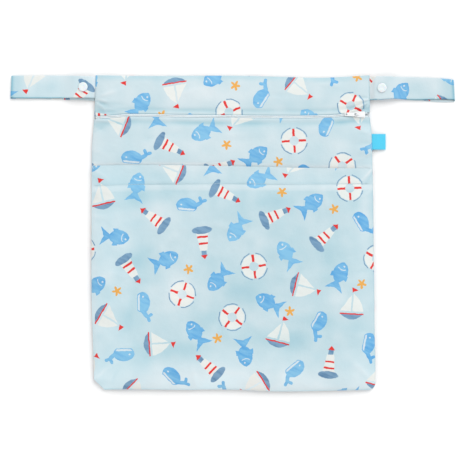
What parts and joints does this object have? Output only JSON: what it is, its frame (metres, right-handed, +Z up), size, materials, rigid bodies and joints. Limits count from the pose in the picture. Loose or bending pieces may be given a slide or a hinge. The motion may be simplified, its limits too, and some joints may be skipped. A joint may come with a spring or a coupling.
{
  "type": "cloth diaper wet bag",
  "caption": "Flat zipped cloth wet bag for nappies, with an open front pocket, folded popper straps at the top corners and a bare side label.",
  "frame": {"origin": "middle of the whole footprint, straps and label included, on the surface under the bag", "axes": "+X to the right as the front is seen, along the straps; +Y to the top edge with the zip; +Z up out of the front"},
  "size_m": [0.5182, 0.3646, 0.0164],
  "materials": {
    "cloth": "printed laminated polyester, soft matt",
    "strap_cloth": "printed laminated polyester, soft matt",
    "zip_tape": "woven polyester tape",
    "zip_coil": "nylon coil",
    "slider": "white enamel",
    "popper": "milky moulded plastic",
    "label": "woven ribbon"
  },
  "bodies": {
    "bag": {"back_panel": "cloth", "upper_front_panel": "cloth", "lower_front_panel": "cloth", "pocket_panel": "cloth", "zip_tape_upper": "zip_tape", "zip_tape_lower": "zip_tape", "zip_coil_upper": "zip_coil", "zip_coil_lower": "zip_coil", "zip_slider": "slider", "left_strap": "strap_cloth", "right_strap": "strap_cloth", "left_popper_front": "popper", "left_popper_rear": "popper", "right_popper_front": "popper", "right_popper_rear": "popper", "side_label": "label"},
    "pull": {"zip_pull": "slider"}
  },
  "joints": [
    {"name": "pull_swing", "type": "hinge", "parent": "bag", "child": "pull", "pos_m": [0.14431, 0.1364, 0.00974], "axis": [0, 1, 0], "range_deg": [0, 185]}
  ]
}
